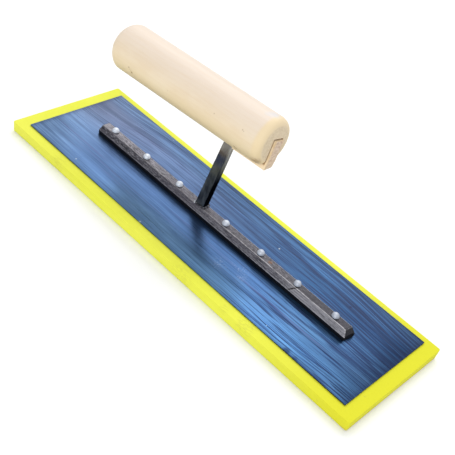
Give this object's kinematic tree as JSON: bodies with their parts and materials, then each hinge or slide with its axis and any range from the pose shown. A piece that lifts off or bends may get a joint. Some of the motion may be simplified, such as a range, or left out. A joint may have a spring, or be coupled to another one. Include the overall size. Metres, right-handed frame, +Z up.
{
  "type": "sponge rubber masonry float",
  "caption": "Rectangular foam rubber sole under a blued steel blade with a riveted bevelled spine and a round wooden grip on one leaning steel tang.",
  "frame": {"origin": "middle of the sole's working face, on the ground plane, on the sole's plan centre", "axes": "+X along the blade from the heel (where the grip overhangs) to the toe, +Y across the blade to the far side, +Z up from the sole to the grip"},
  "size_m": [0.352, 0.11, 0.1203],
  "materials": {
    "pad": "fine closed-cell foam rubber, matte, cut edges slightly faded",
    "plate": "blued spring steel, fine dark and light streaks along its length, semi-gloss",
    "spine": "dark mill-scale steel bar, drawn and slightly pitted, satin",
    "rivet_1": "bright domed head, satin",
    "rivet_2": "bright domed head, satin",
    "rivet_3": "bright domed head, satin",
    "rivet_4": "bright domed head, satin",
    "rivet_5": "bright domed head, satin",
    "rivet_6": "bright domed head, satin",
    "rivet_7": "bright domed head, satin",
    "tang": "black forged steel with heat tint near the grip, satin",
    "tang_collar": "dark weld bead, satin",
    "handle": "turned light hardwood, thin clear coat",
    "filler_strip": "bare sawn hardwood, end grain at the toe"
  },
  "bodies": {
    "root": {"pad": "pad", "plate": "plate", "spine": "spine", "rivet_1": "rivet_1", "rivet_2": "rivet_2", "rivet_3": "rivet_3", "rivet_4": "rivet_4", "rivet_5": "rivet_5", "rivet_6": "rivet_6", "rivet_7": "rivet_7", "tang": "tang", "tang_collar": "tang_collar", "handle": "handle", "filler_strip": "filler_strip"}
  },
  "joints": []
}
